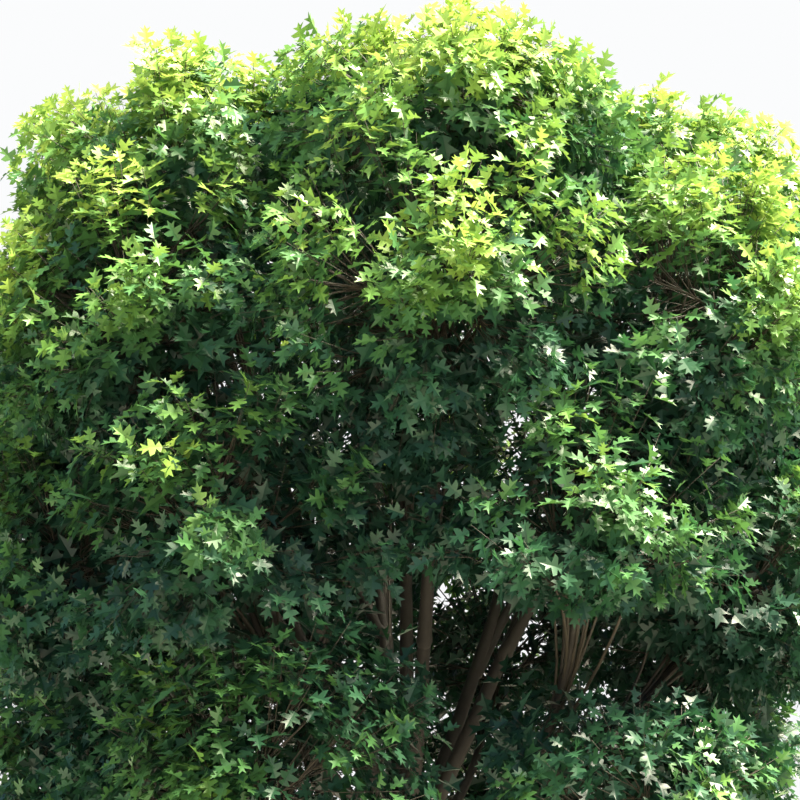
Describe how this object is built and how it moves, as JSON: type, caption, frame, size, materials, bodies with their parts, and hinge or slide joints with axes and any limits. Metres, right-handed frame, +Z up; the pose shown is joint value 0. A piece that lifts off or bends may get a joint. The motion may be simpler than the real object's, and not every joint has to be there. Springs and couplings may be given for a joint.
{
  "type": "dwarf pin oak tree",
  "caption": "Round-headed dwarf pin oak in summer leaf: a flared clear stem, a swollen union, a broom of steep and spreading boughs and a dense crown of lobed leaves",
  "frame": {"origin": "middle of the flat cut under the stem, at ground level", "axes": "+Z up along the stem; -Y towards the side that the picture was taken from; +X to the right of that view"},
  "size_m": [5.3896, 5.3558, 6.4788],
  "materials": {
    "bark": "rough, shallow ridges",
    "young_bark": "smooth to slightly rough",
    "leaf_sunlit": "glossy leaf",
    "leaf_green": "glossy leaf",
    "leaf_shaded": "satin leaf"
  },
  "bodies": {
    "root": {"trunk": "bark", "bough_top": "young_bark", "bough_upper_1": "young_bark", "bough_upper_2": "young_bark", "bough_upper_3": "young_bark", "bough_upper_4": "young_bark", "bough_upper_5": "young_bark", "bough_upper_6": "young_bark", "bough_skirt_1": "young_bark", "bough_skirt_2": "young_bark", "bough_skirt_3": "young_bark", "bough_skirt_4": "young_bark", "bough_skirt_5": "young_bark", "bough_skirt_6": "young_bark", "limb_middle_1": "young_bark", "limb_middle_2": "young_bark", "limb_middle_3": "young_bark", "limb_middle_4": "young_bark", "limb_middle_5": "young_bark", "limb_middle_6": "young_bark", "limb_middle_7": "young_bark", "limb_middle_8": "young_bark", "limb_lower_1": "young_bark", "limb_lower_2": "young_bark", "limb_lower_3": "young_bark", "limb_lower_4": "young_bark", "limb_lower_5": "young_bark", "limb_lower_6": "young_bark", "limb_lower_7": "young_bark", "limb_lower_8": "young_bark", "foliage_top": "leaf_sunlit", "foliage_upper_1": "leaf_sunlit", "foliage_upper_2": "leaf_sunlit", "foliage_upper_3": "leaf_sunlit", "foliage_upper_4": "leaf_sunlit", "foliage_upper_5": "leaf_sunlit", "foliage_upper_6": "leaf_sunlit", "foliage_skirt_1": "leaf_shaded", "foliage_skirt_2": "leaf_shaded", "foliage_skirt_3": "leaf_shaded", "foliage_skirt_4": "leaf_shaded", "foliage_skirt_5": "leaf_shaded", "foliage_skirt_6": "leaf_shaded", "foliage_middle_1": "leaf_green", "foliage_middle_2": "leaf_green", "foliage_middle_3": "leaf_green", "foliage_middle_4": "leaf_green", "foliage_middle_5": "leaf_green", "foliage_middle_6": "leaf_green", "foliage_middle_7": "leaf_green", "foliage_middle_8": "leaf_green", "foliage_lower_1": "leaf_green", "foliage_lower_2": "leaf_green", "foliage_lower_3": "leaf_green", "foliage_lower_4": "leaf_green", "foliage_lower_5": "leaf_green", "foliage_lower_6": "leaf_green", "foliage_lower_7": "leaf_green", "foliage_lower_8": "leaf_green"}
  },
  "joints": []
}
